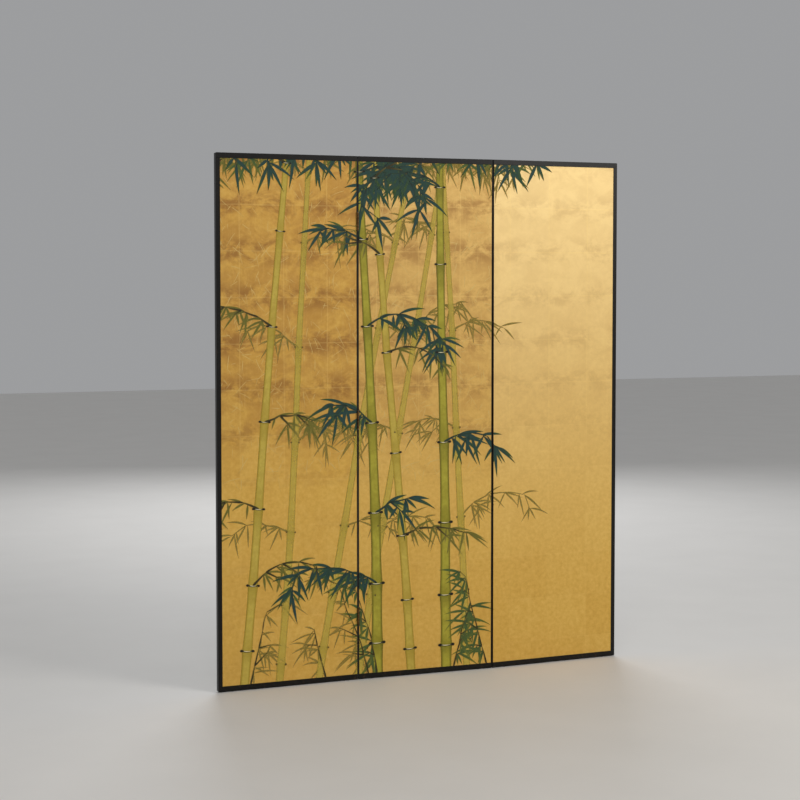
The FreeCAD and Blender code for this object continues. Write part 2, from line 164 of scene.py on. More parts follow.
class Finish:
    """A material, wired node by node."""

    def __init__(self, name):
        self.material = bpy.data.materials.new(name)
        self.material.use_nodes = True
        self.tree = self.material.node_tree
        self.tree.nodes.clear()

    def node(self, kind, settings=None, sockets=None, output=0):
        """Adds one node, sets it up, wires its sockets and gives back its output."""
        made = self.tree.nodes.new("ShaderNode" + kind)
        for name, value in (settings or {}).items():
            if name == "stops":
                ramp = made.color_ramp
                while len(ramp.elements) < len(value):
                    ramp.elements.new(0.5)
                for stop, (position, colour) in zip(ramp.elements, value):
                    stop.position = position
                    stop.color = (*colour, 1)
            else:
                setattr(made, name, value)
        for name, value in (sockets or {}).items():
            if isinstance(value, Flow):
                self.tree.links.new(value.socket, made.inputs[name])
            else:
                made.inputs[name].default_value = value
        return Flow(self, made.outputs[output])

    def place(self, stretch=(1, 1, 1), turn=(0, 0, 0), shift=(0, 0, 0)):
        """The piece's own coordinates in metres, stretched or turned."""
        where = self.node("TexCoord", output="Object")
        sizes = {"Vector": where, "Scale": stretch, "Rotation": turn, "Location": shift}
        return self.node("Mapping", sockets=sizes)

    def along_stroke(self, stretch=(1, 1, 1)):
        """A stroke's own coordinates: along from its root, and across."""
        where = self.node("TexCoord", output="UV")
        return self.node("Mapping", sockets={"Vector": where, "Scale": stretch})

    def parts(self, vector):
        """The three parts of a place."""
        first = self.node("SeparateXYZ", sockets={"Vector": vector})
        outputs = first.socket.node.outputs
        return [Flow(self, output) for output in outputs]

    def noise(self, where, scale, detail=4.0, rough=0.55, warp=0.0):
        """Cloudy variation over a place."""
        sizes = {"Vector": where, "Scale": scale, "Detail": detail}
        sizes.update({"Roughness": rough, "Distortion": warp})
        return self.node("TexNoise", sockets=sizes)

    def between(self, value, low, high, start=0.0, end=1.0):
        """Goes smoothly from start to end as the value goes from low to high."""
        ends = {"Value": value, "From Min": low, "From Max": high, "To Min": start, "To Max": end}
        return self.node("MapRange", {"interpolation_type": "SMOOTHSTEP"}, ends)

    def blend(self, amount, first, second, how="MIX"):
        """Mixes one colour into another by an amount."""
        settings = {"data_type": "RGBA", "blend_type": how}
        return self.node("Mix", settings, {0: amount, 6: first, 7: second}, output=2)

    def raised(self, height, depth, strength=1.0, under=None):
        """A bumped normal from a height."""
        sizes = {"Height": height, "Distance": depth, "Strength": strength}
        if under:
            sizes["Normal"] = under
        return self.node("Bump", sockets=sizes)

    def finish(self, **values):
        """Wires the surface and gives back the material."""
        names = {
            "colour": "Base Color",
            "roughness": "Roughness",
            "metal": "Metallic",
            "coat": "Coat Weight",
            "coat_roughness": "Coat Roughness",
            "cover": "Alpha",
            "normal": "Normal",
            "gloss": "Specular IOR Level",
            "sheen": "Sheen Weight",
        }
        sockets = {names[name]: value for name, value in values.items()}
        shader = self.node("BsdfPrincipled", sockets=sockets)
        out = self.tree.nodes.new("ShaderNodeOutputMaterial")
        self.tree.links.new(shader.socket, out.inputs["Surface"])
        return self.material


def paint(red, green, blue):
    """A colour as a painter's 0-255 mix, made ready for a shader."""

    def light(value):
        """One colour channel, from its screen value to linear light."""
        part = value / 255
        return part / 12.92 if part <= 0.04045 else ((part + 0.055) / 1.055) ** 2.4

    return (light(red), light(green), light(blue), 1)


def stop(position, red, green, blue):
    """One colour stop of a ramp."""
    return (position, paint(red, green, blue)[:3])


# ---------------------------------------------------------------- finishes of the boards


FIRST_SQUARE = 0.065  # the cut piece of leaf that each panel's laying starts with, both ways


def gold_leaf(name, first_seam, tarnish, pale):
    """Beaten gold squares laid edge over edge, clouded and rubbed with age, with a painted highlight that
    makes the gold paler towards the top.
    """
    gold = Finish(name)
    square = 0.1545
    foot_seam = GOLD_LOW.z + FIRST_SQUARE
    where = gold.place()
    drift = gold.noise(where, 9.0, 2.0) * 0.006 - 0.003
    across, _, up = gold.parts(where)
    column = (across + drift - first_seam) / square
    row = (up + drift - foot_seam) / square
    beside = gold.node("Math", {"operation": "PINGPONG"}, {0: column, 1: 0.5}) * square
    above = gold.node("Math", {"operation": "PINGPONG"}, {0: row, 1: 0.5}) * square
    nearest = gold.node("Math", {"operation": "MINIMUM"}, {0: beside, 1: above})
    lap = gold.between(nearest, 0.0006, 0.0030, 1.0, 0.0)
    column_number = gold.node("Math", {"operation": "FLOOR"}, {0: column})
    row_number = gold.node("Math", {"operation": "FLOOR"}, {0: row})
    numbers = gold.node("CombineXYZ", sockets={"X": column_number, "Y": row_number})
    sheet_tone = gold.node("TexWhiteNoise", {"noise_dimensions": "2D"}, {"Vector": numbers})

    clouds = gold.noise(gold.place((11.0, 1, 15.0)), 1.0, 6.0, 0.68, 0.5)
    streaks = gold.noise(gold.place((26.0, 1, 38.0)), 1.0, 5.0, 0.7, 0.4)
    near_lap = gold.between(above, 0.010, 0.062, 1.0, 0.16)
    high_up = gold.between(up, 0.62, 1.05, 0.12, 1.0)
    bronzed = gold.between(clouds * 0.70 + streaks * 0.30, 0.44, 0.60) * near_lap * high_up * tarnish
    dimmed = gold.between(clouds, 0.30, 0.60, 0.45, 1.0) * high_up * tarnish
    mottle = gold.noise(where, 75.0, 5.0, 0.65)
    grain = gold.noise(where, 420.0, 3.0, 0.6)
    hairs = gold.noise(gold.place((260, 1, 9), (0, 0.9, 0)), 1.0, 3.0, 0.5, 0.6)
    cross_hairs = gold.noise(gold.place((240, 1, 8), (0, -0.7, 0)), 1.0, 3.0, 0.5, 0.6)
    rubbed = gold.between(hairs, 0.60, 0.70) + gold.between(cross_hairs, 0.62, 0.72)

    body = gold.node(
        "ValToRGB",
        {"stops": [stop(0.25, 206, 160, 66), stop(0.5, 218, 174, 80), stop(0.75, 228, 188, 96)]},
        {"Fac": mottle * 0.88 + sheet_tone * 0.12},
    )
    # Painted highlight: the gold is paler towards the top, by the share pale, standing in for a lamp's
    # glare on the gold.
    painted_glare = gold.between(up, 0.15, 1.9) * pale
    body = gold.blend(painted_glare, body, paint(247, 220, 158))
    body = gold.blend(dimmed * 0.55, body, paint(170, 118, 50))
    body = gold.blend(bronzed * 0.68, body, paint(138, 90, 38))
    body = gold.blend(lap * (0.05 + high_up * 0.12), body, paint(240, 206, 124))
    body = gold.blend(rubbed * high_up * 0.10, body, paint(240, 212, 130))
    body = gold.blend(gold.between(grain, 0.58, 0.78) * 0.05, body, paint(150, 104, 46))
    roughness = 0.42 + clouds * 0.12 + grain * 0.08 - lap * high_up * 0.05
    crinkle = mottle * 0.35 + grain * 0.12 + lap * high_up * 0.5 + rubbed * 0.1
    return gold.finish(
        colour=body, roughness=roughness, metal=0.45, normal=gold.raised(crinkle, 0.0003, 0.35)
    )


def black_lacquer(name):
    """Brushed black lacquer, rubbed brown where hands and floors have touched it."""
    lacquer = Finish(name)
    where = lacquer.place()
    _, _, up = lacquer.parts(where)
    brushing = lacquer.noise(lacquer.place((160, 160, 5)), 1.0, 4.0, 0.6)
    cloud = lacquer.noise(where, 14.0, 4.0, 0.6)
    dust = lacquer.between(lacquer.noise(where, 900.0, 2.0), 0.66, 0.76)
    scuff = lacquer.between(lacquer.noise(lacquer.place((90, 90, 22)), 1.0, 5.0, 0.7), 0.58, 0.72)
    low_down = lacquer.between(up, 0.012, 0.10, 1.0, 0.0)
    handled = lacquer.between(up, 0.75, 0.95) * lacquer.between(up, 1.15, 1.35, 1.0, 0.0)
    worn = scuff * (low_down + handled * 0.5) * 0.6
    body = lacquer.node(
        "ValToRGB",
        {"stops": [stop(0.3, 8, 7, 5), stop(0.6, 13, 11, 8), stop(0.8, 21, 18, 13)]},
        {"Fac": cloud * 0.6 + brushing * 0.4},
    )
    body = lacquer.blend(worn, body, paint(88, 62, 40))
    body = lacquer.blend(dust * 0.25, body, paint(150, 140, 122))
    roughness = 0.30 + brushing * 0.16 + worn * 0.2 + dust * 0.2
    height = brushing * 0.5 + cloud * 0.3 - worn * 0.5
    return lacquer.finish(
        colour=body,
        roughness=roughness,
        coat=0.09 - worn * 0.08,
        coat_roughness=0.30,
        gloss=0.20,
        normal=lacquer.raised(height, 0.00025, 0.3),
    )


def back_covering(name):
    """Printed mulberry paper: a small lozenge lattice, tone on tone, over laid lines."""
    paper = Finish(name)
    where = paper.place()
    across, _, up = paper.parts(where)
    pitch = 0.036
    rising = (across + up) / pitch
    falling = (across - up) / pitch
    first = paper.node("Math", {"operation": "PINGPONG"}, {0: rising, 1: 0.5})
    second = paper.node("Math", {"operation": "PINGPONG"}, {0: falling, 1: 0.5})
    line = paper.node("Math", {"operation": "MINIMUM"}, {0: first, 1: second})
    centre = paper.node("Math", {"operation": "MINIMUM"}, {0: 0.5 - first, 1: 0.5 - second})
    lattice = paper.between(line, 0.035, 0.075, 1.0, 0.0)
    petals = paper.between((0.5 - first) + (0.5 - second), 0.15, 0.21, 1.0, 0.0)
    laid = paper.node(
        "TexWave",
        {"bands_direction": "Z", "wave_profile": "SIN"},
        {"Vector": where, "Scale": 260.0, "Distortion": 1.2, "Detail": 2.0},
    )
    fibres = paper.noise(paper.place((60, 1, 420), (0, 0.5, 0)), 1.0, 5.0, 0.7, 0.8)
    cloud = paper.noise(where, 5.0, 5.0, 0.6)
    grain = paper.noise(where, 600.0, 3.0)
    print_wear = paper.between(paper.noise(where, 45.0, 5.0, 0.7), 0.36, 0.55)
    body = paper.node(
        "ValToRGB",
        {"stops": [stop(0.3, 62, 66, 50), stop(0.55, 74, 78, 58), stop(0.8, 90, 92, 68)]},
        {"Fac": cloud * 0.7 + fibres * 0.3},
    )
    printed = (lattice + petals) * print_wear * 0.62
    body = paper.blend(printed, body, paint(150, 138, 88))
    body = paper.blend(paper.between(fibres, 0.60, 0.72) * 0.3, body, paint(134, 130, 98))
    body = paper.blend(centre * 0.1, body, paint(44, 46, 36))
    foxing = paper.between(paper.noise(where, 28.0, 4.0, 0.7, 0.4), 0.66, 0.74)
    body = paper.blend(foxing * 0.35, body, paint(104, 76, 44))
    roughness = 0.78 - printed * 0.22 + grain * 0.08
    height = laid * 0.35 + fibres * 0.35 + grain * 0.2 + printed * 0.4
    return paper.finish(
        colour=body, roughness=roughness, gloss=0.3, normal=paper.raised(height, 0.0002, 0.5)
    )


def sawn_wood(name, pale, dark, pitch):
    """Straight-grained timber with its year rings drawn out along the board."""
    wood = Finish(name)
    rings = wood.node(
        "TexWave",
        {"bands_direction": "X", "wave_profile": "SAW"},
        {"Vector": wood.place((1, 1, 0.05)), "Scale": pitch, "Distortion": 6.0, "Detail": 3.0},
    )
    pores = wood.noise(wood.place((700, 700, 26)), 1.0, 4.0, 0.6)
    cloud = wood.noise(wood.place(), 9.0, 4.0)
    body = wood.blend(rings * 0.5 + cloud * 0.4, paint(*pale), paint(*dark))
    body = wood.blend(wood.between(pores, 0.58, 0.70) * 0.4, body, paint(*dark))
    height = rings * 0.4 + pores * 0.6
    return wood.finish(
        colour=body, roughness=0.58 + pores * 0.2, normal=wood.raised(height, 0.0003, 0.4)
    )


def turned_metal(name, bright, dull, patina, metal):
    """Rubbed metal with tarnish in its hollows and fine file marks."""
    alloy = Finish(name)
    where = alloy.place()
    marks = alloy.noise(alloy.place((1200, 1200, 90)), 1.0, 3.0, 0.6)
    cloud = alloy.noise(where, 160.0, 5.0, 0.65, 0.4)
    spots = alloy.between(alloy.noise(where, 520.0, 4.0, 0.7), 0.58, 0.70)
    body = alloy.blend(alloy.between(cloud, 0.36, 0.64), paint(*bright), paint(*dull))
    body = alloy.blend(spots * 0.5, body, paint(*patina))
    roughness = 0.30 + cloud * 0.22 + spots * 0.2 + marks * 0.08
    height = marks * 0.5 + cloud * 0.5 - spots * 0.4
    return alloy.finish(
        colour=body,
        roughness=roughness,
        metal=metal - spots * 0.35,
        normal=alloy.raised(height, 0.00012, 0.5),
    )


def moulded_nylon(name):
    """Dark nylon, dulled and scratched underneath."""
    nylon = Finish(name)
    where = nylon.place()
    stipple = nylon.noise(where, 1500.0, 3.0)
    scratches = nylon.noise(nylon.place((900, 120, 900)), 1.0, 4.0, 0.7)
    cloud = nylon.noise(where, 120.0, 3.0)
    body = nylon.blend(cloud, paint(38, 35, 31), paint(60, 56, 50))
    body = nylon.blend(nylon.between(scratches, 0.58, 0.70) * 0.5, body, paint(104, 98, 88))
    return nylon.finish(
        colour=body,
        roughness=0.45 + scratches * 0.25,
        normal=nylon.raised(stipple * 0.5 + scratches, 0.0001, 0.5),
    )


# ---------------------------------------------------------------- finishes of the painting


def leaf_paint(name, root, body, tip, cover):
    """Mineral green drawn out by the brush: deep at the root, thin and olive at the tip."""
    green = Finish(name)
    along, across, _ = green.parts(green.along_stroke())
    tone = green.node("Attribute", {"attribute_name": "tone"}, output="Fac")
    bristles = green.noise(green.along_stroke((1.6, 16, 1)), 1.0, 4.0, 0.6, 0.3)
    pooled = green.noise(green.place(), 70.0, 4.0, 0.6)
    from_middle = green.node("Math", {"operation": "ABSOLUTE"}, {0: across - 0.5})
    edge = green.between(from_middle, 0.20, 0.48)
    rib = green.between(from_middle, 0.015, 0.09, 1.0, 0.0)
    shade = green.blend(green.between(along, 0.0, 0.35), paint(*root), paint(*body))
    thinning = green.between(along + tone * 0.35, 0.62, 1.05)
    shade = green.blend(thinning, shade, paint(*tip))
    shade = green.blend(edge * 0.35, shade, paint(*tip))
    shade = green.blend(rib * bristles * 0.5, shade, paint(*tip))
    shade = green.blend(tone * 0.55 * pooled, shade, paint(*tip))
    dry = green.between(bristles + along * 0.12, 0.62, 0.86, 1.0, 0.55)
    ground = green.between(along, 0.80, 1.02, 1.0, 0.55)
    return green.finish(
        colour=shade,
        roughness=0.55 + bristles * 0.2,
        cover=dry * ground * cover,
        gloss=0.35,
        normal=green.raised(bristles * 0.6 + pooled * 0.4, 0.0002, 0.35),
    )


def culm_paint(name, middle, side, foot, cover):
    """A culm washed in one broad stroke, with the colour gathered along both sides."""
    wash = Finish(name)
    along, across, _ = wash.parts(wash.along_stroke())
    streaks = wash.noise(wash.along_stroke((1.5, 14, 1)), 1.0, 4.0, 0.6, 0.2)
    pooled = wash.noise(wash.place(), 38.0, 5.0, 0.65, 0.4)
    from_middle = wash.node("Math", {"operation": "ABSOLUTE"}, {0: across - 0.5})
    sides = wash.between(from_middle + streaks * 0.12, 0.28, 0.52)
    tint = wash.blend(sides * 0.85, paint(*middle), paint(*side))
    tint = wash.blend(wash.between(along, 0.62, 1.0) * 0.55, tint, paint(*side))
    tint = wash.blend(wash.between(along, 0.0, 0.30, 1.0, 0.0) * 0.6, tint, paint(*foot))
    tint = wash.blend(wash.between(pooled, 0.45, 0.7) * 0.25, tint, paint(*foot))
    feather = wash.between(from_middle, 0.46, 0.50, 1.0, 0.35)
    thin = wash.between(pooled + streaks * 0.3, 0.35, 0.80, 1.0, 0.78)
    return wash.finish(
        colour=tint,
        roughness=0.52 + streaks * 0.18,
        cover=feather * thin * cover,
        gloss=0.35,
        normal=wash.raised(streaks, 0.0002, 0.3),
    )


def brush_ink(name, deep, thin):
    """Black ink, dense where the brush was set down."""
    ink = Finish(name)
    along, _, _ = ink.parts(ink.along_stroke())
    bristles = ink.noise(ink.along_stroke((2, 12, 1)), 1.0, 4.0, 0.6)
    shade = ink.blend(ink.between(along + bristles * 0.3, 0.4, 1.2), paint(*deep), paint(*thin))
    return ink.finish(
        colour=shade,
        roughness=0.5 + bristles * 0.2,
        gloss=0.3,
        normal=ink.raised(bristles, 0.0002, 0.3),
    )


BOARD_FINISHES = {
    "black_lacquer": black_lacquer("black_lacquer_brushed"),
    "back_covering": back_covering("back_covering_printed_paper"),
    "core_softwood": sawn_wood("core_softwood_sawn", (214, 180, 128), (170, 126, 78), 30.0),
    "dowel_beech": sawn_wood("dowel_beech_turned", (212, 168, 124), (172, 122, 82), 80.0),
    "glide_nylon": moulded_nylon("glide_nylon_moulded"),
    "hinge_bronze": turned_metal(
        "hinge_bronze_aged", (112, 86, 52), (66, 48, 32), (58, 62, 44), 0.9
    ),
    "hinge_pin_steel": turned_metal(
        "hinge_pin_steel_oiled", (150, 146, 138), (96, 92, 86), (74, 56, 40), 0.95
    ),
    "screw_bronze": turned_metal(
        "screw_bronze_rubbed", (146, 112, 66), (84, 60, 38), (52, 50, 36), 0.9
    ),
}
GOLD_FINISHES = {}
# The last number of each leaf is its share of painted highlight, which makes its gold paler towards the
# top; it is strongest on the right leaf.
for leaf, tarnish, pale in (("left", 1.0, 0.0), ("middle", 0.75, 0.35), ("right", 0.25, 0.85)):
    panel = f"{leaf}_gilded_panel"
    first_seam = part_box(panel)[0].x + FIRST_SQUARE
    GOLD_FINISHES[panel] = gold_leaf(f"gold_leaf_{leaf}", first_seam, tarnish, pale)
for node_name, board in frame["nodes"].items():
    for number, carried in enumerate(board.data.materials):
        slot_name = carried.name.split(".")[0]
        board.data.materials[number] = GOLD_FINISHES.get(node_name) or BOARD_FINISHES[slot_name]

# ---------------------------------------------------------------- the brush
BLADE = sides_of((0.08, 0.42, 0.76, 0.95, 1.0, 0.94, 0.83, 0.68, 0.48, 0.24, 0.02), 2, "blade_blank")
CULM = sides_of((1.1, 0.98, 0.93, 0.92, 0.93, 0.98, 1.12), 2, "culm_blank")
TWIG = sides_of((0.7, 1.0, 0.9, 0.85, 0.8, 0.7, 0.55, 0.3), 1, "twig_blank")
DAB = sides_of((0.35, 0.9, 1.0, 0.8, 0.5, 0.15), 1, "dab_blank")

SEED = 23
hand = random.Random(SEED)
strokes = []


def either_side():
    """Left or right, by chance."""
    return hand.choice((-1, 1))


def toward(lean, reach):
    """A run across the gold. Its lean is from straight down, to the right, in degrees."""
    angle = math.radians(lean)
    return Vector((math.sin(angle), -math.cos(angle))) * reach


def beside(run):
    """The way to the right of a run that climbs."""
    return Vector((run.y, -run.x))


def stroke(kind, blank, root, bend, tip, width, tone=0.3, taper=1.0):
    """Notes one brush stroke: its blank, its path, its width at the root and how it tapers."""
    strokes.append((kind, blank, root, bend, tip, width, tone, taper))


BLADE_SWAY, TWIG_SWAY, HAIR_SWAY = 0.05, 0.10, 0.12  # sideways bend, as a share of the run
PALEST = 0.8


def swayed(run, most):
    """A sideways bend for a run, by chance."""
    return beside(run) * hand.uniform(-most, most)


def blade(kind, root, lean, length, width, droop=0.14):
    """One leaf blade, bowed over by its own weight."""
    run = toward(lean, length)
    lift = Vector((0, 1)) * length * droop * abs(math.sin(math.radians(lean)))
    bend = root + run / 2 + lift + swayed(run, BLADE_SWAY)
    stroke(kind, BLADE, root, bend, root + run, width, hand.uniform(0, PALEST))


# How each paint's sprays are thrown: fewest and most blades, their length and width, degrees of play.
LEAFAGE = {
    "dark_blades": (3, 6, 112, 12.5, 10),
    "green_blades": (3, 6, 94, 9.5, 12),
    "olive_blades": (3, 6, 90, 8.5, 15),
    "ghost_blades": (3, 6, 92, 7.5, 20),
}
SPRAY_SPREAD = 104  # degrees from the first blade to the last
HANG, MOST_HANG = 0.42, 55
TWIG_END = 26
BLADE_REACH = (0.5, 1.2)  # shares of the usual length
OUTER_SHORTENING = 0.35
BLADE_BREADTH = (0.78, 1.0)
COMPANION_SHARE = 0.3
COMPANION_TURN = (10, 24)
COMPANION_REACH = (0.6, 0.95)
COMPANION_BREADTH = 0.6


def spray(kind, root, lean):
    """Blades from one twig end, hanging about the way the twig was heading."""
    fewest, most, length, width, play = LEAFAGE[kind]
    count = hand.randint(fewest, most)
    back = toward(lean + 180, TWIG_END)
    hanging = max(-MOST_HANG, min(MOST_HANG, lean * HANG))
    for number in range(count):
        share = number / (count - 1) - 0.5
        leaned = hanging + share * SPRAY_SPREAD + hand.uniform(-play, play)
        reach = length * hand.uniform(*BLADE_REACH) * (1 - abs(share) * OUTER_SHORTENING)
        start = root + back * hand.random()
        blade(kind, start, leaned, reach, width * hand.uniform(*BLADE_BREADTH))
        if kind == "dark_blades" and hand.random() < COMPANION_SHARE:
            aside = leaned + either_side() * hand.uniform(*COMPANION_TURN)
            shorter = reach * hand.uniform(*COMPANION_REACH)
            blade("green_blades", start, aside, shorter, width * COMPANION_BREADTH)


TWIG_STEP = 62
FREE_BOW = (8, 26)  # degrees that a bough turns over at each joint
STIFF_BOW = (-3, 8)
THINNING = 0.82
SIDE_TWIG_SHARE = 0.6
SIDE_TWIG_TURN = (30, 75)
SIDE_TWIG_REACH = (30, 80)


def bough(leaves, twigs, root, lean, reach, width, bow=FREE_BOW):
    """A twig that sets out at a lean, bows over and carries a spray at each of its joints."""
    steps = max(2, round(reach / TWIG_STEP))
    side = math.copysign(1, lean)
    for _ in range(steps):
        run = toward(lean, reach / steps)
        stroke(twigs, TWIG, root, root + run / 2 + swayed(run, TWIG_SWAY), root + run, width)
        root = root + run
        spray(leaves, root, lean)
        if hand.random() < SIDE_TWIG_SHARE:
            aside = lean - side * hand.uniform(*SIDE_TWIG_TURN)
            offshoot = toward(aside, hand.uniform(*SIDE_TWIG_REACH))
            stroke(twigs, TWIG, root, root + offshoot / 2, root + offshoot, width * THINNING)
            spray(leaves, root + offshoot, aside)
        lean -= side * hand.uniform(*bow)
        width *= THINNING


def culm_length(kind, foot, head, width, head_width, tuck=3):
    """One length of culm, tucked under the joints at its foot and head."""
    run = (head - foot).normalized() * tuck
    foot, head = foot - run * 2, head + run
    stroke(kind, CULM, foot, (foot + head) / 2, head, width, 0.3, head_width / width)


def node_ring(left, right, size):
    """A culm's joint: a thin dark line, a pale lip above it and a brush dab at each end."""
    run = right - left
    sag = beside(run).normalized() * size
    middle = (left + right) / 2
    stroke("ring_ink", TWIG, left, middle + sag * 0.9, right, size * 0.42)
    stroke("ring_white", BLADE, left + run * 0.14, middle + sag * 0.4, right - run * 0.14, size * 0.26)
    for end, inward in ((left, run), (right, -run)):
        stroke("ring_ink", DAB, end - inward * 0.12, end + inward * 0.04, end + inward * 0.24, size * 1.15)


def node_ticks(left, right, size):
    """A faded joint: only its two brush dabs are left."""
    run = (right - left) * 0.16
    stroke("tick_ink", DAB, left - run * 0.3, left, left + run, size)
    stroke("tick_ink", DAB, right + run * 0.3, right, right - run, size)


# ---------------------------------------------------------------- the painting: a grove grown by rule
# No culm or leaf has a place of its own. Culms rise joint by joint from feet shared out over the
# grove, boughs leave their joints by turns to each side, and sprays hang from the boughs.
GROVE_START, GROVE_END = SCREEN_WIDTH * 0.04, SCREEN_WIDTH * 0.66
GROVE = (
    # paint, how many, girth, leaves, twigs, share of joints that branch, longest bough
    ("faded_culm", 4, 30, "ghost_blades", "ghost_blades", 0.95, 300),
    ("far_culm", 2, 35, "olive_blades", "stalks", 0.85, 300),
    ("near_culm", 2, 42, "dark_blades", "dark_twigs", 0.80, 400),
)
CULM_LEAN = (-5, 11)
CULM_BEND = 1.2
BELOW_GOLD = (20, 120)
JOINT_LENGTH, MIDDLE_EXTRA, JOINT_PLAY = 165, 185, (0.9, 1.1)
CULM_TAPER = 0.36
RING_REACH, RING_SIZE = 0.60, 0.22
BARE_FOOT = 330
SHORTEST_BOUGH, BOUGH_LEAN, BOUGH_WIDTH = 120, (105, 135), 8
SLOT_PLAY = (0.2, 0.8)
CANOPY_START, CANOPY_END = 0, SCREEN_WIDTH * 0.8
CANOPY_LEAVES = ("dark_blades", "green_blades", "olive_blades")
CANOPY_STEP, CANOPY_PLAY, CANOPY_LEAN = (28, 52), (-20, 25), 60
CANOPY_BOUGH_SHARE, CANOPY_BOUGH_REACH = 0.14, (130, 260)
SHOOTS, SHOOT_LEAN, SHOOT_REACH, SHOOT_WIDTH = 6, (152, 174), (140, 400), 6
SHOOT_LEAVES = ("green_blades", "olive_blades", "ghost_blades")
HAIR_COUNT, HAIR_LEAN_SPREAD, HAIR_REACH, HAIR_WIDTH = 700, 48, (14, 62), (0.8, 1.8)
HAIRS_FROM = 0.4  # share of the height


def rise_of(spot):
    """How far up the gold a spot is, from 0 to 1."""
    return min(1, max(0, (spot.y - FACE_FOOT) / (FACE_HEAD - FACE_FOOT)))


def grow_culm(kind, foot, lean, girth):
    """A culm from below the gold to above it. Gives back its joints."""
    joints = []
    spot = Vector((foot, FACE_FOOT - hand.uniform(*BELOW_GOLD)))
    while spot.y < FACE_HEAD:
        length = JOINT_LENGTH + MIDDLE_EXTRA * math.sin(math.pi * rise_of(spot))
        run = toward(180 - lean, length * hand.uniform(*JOINT_PLAY))
        width = girth * (1 - CULM_TAPER * rise_of(spot))
        head_width = girth * (1 - CULM_TAPER * rise_of(spot + run))
        culm_length(kind, spot, spot + run, width, head_width)
        spot = spot + run
        reach = beside(run).normalized() * head_width * RING_REACH
        mark = node_ticks if kind == "faded_culm" else node_ring
        mark(spot - reach, spot + reach, head_width * RING_SIZE)
        lean += hand.uniform(-CULM_BEND, CULM_BEND)
        joints.append(spot)
    return joints


def plant_grove():
    """Shares the culms' feet out over the grove and lets boughs leave their joints by turns."""
    total = sum(how_many for _, how_many, *_ in GROVE)
    slots = hand.sample(range(total), total)
    pitch = (GROVE_END - GROVE_START) / total
    for wash, how_many, girth, leaves, twigs, branching, longest in GROVE:
        for _ in range(how_many):
            foot = GROVE_START + (slots.pop() + hand.uniform(*SLOT_PLAY)) * pitch
            joints = grow_culm(wash, foot, hand.uniform(*CULM_LEAN), girth)
            side = either_side()
            for joint in joints:
                if joint.y > BARE_FOOT and hand.random() < branching:
                    reach = hand.uniform(SHORTEST_BOUGH, longest)
                    bough(leaves, twigs, joint, side * hand.uniform(*BOUGH_LEAN), reach, BOUGH_WIDTH)
                side = -side


def hang_canopy():
    """Foliage that hangs in from above the gold, with a longer bough now and then."""
    across = CANOPY_START
    while across < CANOPY_END:
        above = Vector((across, FACE_HEAD + hand.uniform(*CANOPY_PLAY)))
        spray(hand.choice(CANOPY_LEAVES), above, hand.uniform(-CANOPY_LEAN, CANOPY_LEAN))
        if hand.random() < CANOPY_BOUGH_SHARE:
            lean = either_side() * CANOPY_LEAN
            reach = hand.uniform(*CANOPY_BOUGH_REACH)
            bough("dark_blades", "dark_twigs", above, lean, reach, BOUGH_WIDTH)
        across += hand.uniform(*CANOPY_STEP)


def raise_shoots():
    """Young shoots at the foot of the grove."""
    for _ in range(SHOOTS):
        foot = Vector((hand.uniform(GROVE_START, GROVE_END), FACE_FOOT))
        lean = either_side() * hand.uniform(*SHOOT_LEAN)
        leaves = hand.choice(SHOOT_LEAVES)
        bough(leaves, "stalks", foot, lean, hand.uniform(*SHOOT_REACH), SHOOT_WIDTH, STIFF_BOW)


def scratch_hairs():
    """Fine pale hairs in the upper gold, on the grove's side."""
    for _ in range(HAIR_COUNT):
        root = Vector((hand.uniform(0, GROVE_END), FACE_HEAD * hand.uniform(HAIRS_FROM, 1)))
        run = toward(hand.gauss(0, HAIR_LEAN_SPREAD), hand.uniform(*HAIR_REACH))
        bend = root + run / 2 + swayed(run, HAIR_SWAY)
        stroke("gold_hairs", TWIG, root, bend, root + run, hand.uniform(*HAIR_WIDTH))


plant_grove()
hang_canopy()
raise_shoots()
scratch_hairs()

# ---------------------------------------------------------------- laying the strokes on the gold
PAINTS = {
    "gold_hairs": leaf_paint(
        "pale_gold_hair", (240, 210, 128), (244, 216, 140), (232, 196, 112), 0.7
    ),
    "ghost_blades": leaf_paint(
        "ghost_leaf_wash", (140, 122, 46), (158, 138, 58), (178, 150, 72), 0.55
    ),
    "faded_culm": culm_paint(
        "faded_culm_wash", (214, 192, 84), (190, 168, 60), (204, 178, 72), 0.56
    ),
    "far_culm": culm_paint("far_culm_wash", (212, 188, 82), (172, 148, 40), (192, 164, 58), 0.78),
    "near_culm": culm_paint("near_culm_wash", (178, 168, 54), (104, 98, 10), (138, 128, 24), 0.96),
    "olive_blades": leaf_paint(
        "olive_leaf_wash", (96, 92, 34), (112, 110, 40), (140, 126, 52), 0.80
    ),
    "green_blades": leaf_paint("green_leaf_paint", (40, 66, 42), (62, 88, 44), (108, 112, 38), 0.94),
    "dark_blades": leaf_paint("dark_leaf_paint", (18, 38, 40), (26, 60, 60), (50, 76, 34), 1.0),
    "dark_twigs": leaf_paint("dark_twig_paint", (20, 34, 30), (28, 52, 46), (38, 60, 36), 1.0),
    "stalks": brush_ink("stalk_ink", (52, 46, 16), (96, 86, 34)),
    "tick_ink": brush_ink("tick_ink", (70, 56, 18), (104, 88, 40)),
    "ring_ink": brush_ink("ring_ink", (22, 20, 10), (44, 38, 16)),
    "ring_white": brush_ink("shell_white", (244, 236, 196), (226, 210, 152)),
}
FIRST_COAT = 0.05
COAT_STEP = 0.0006


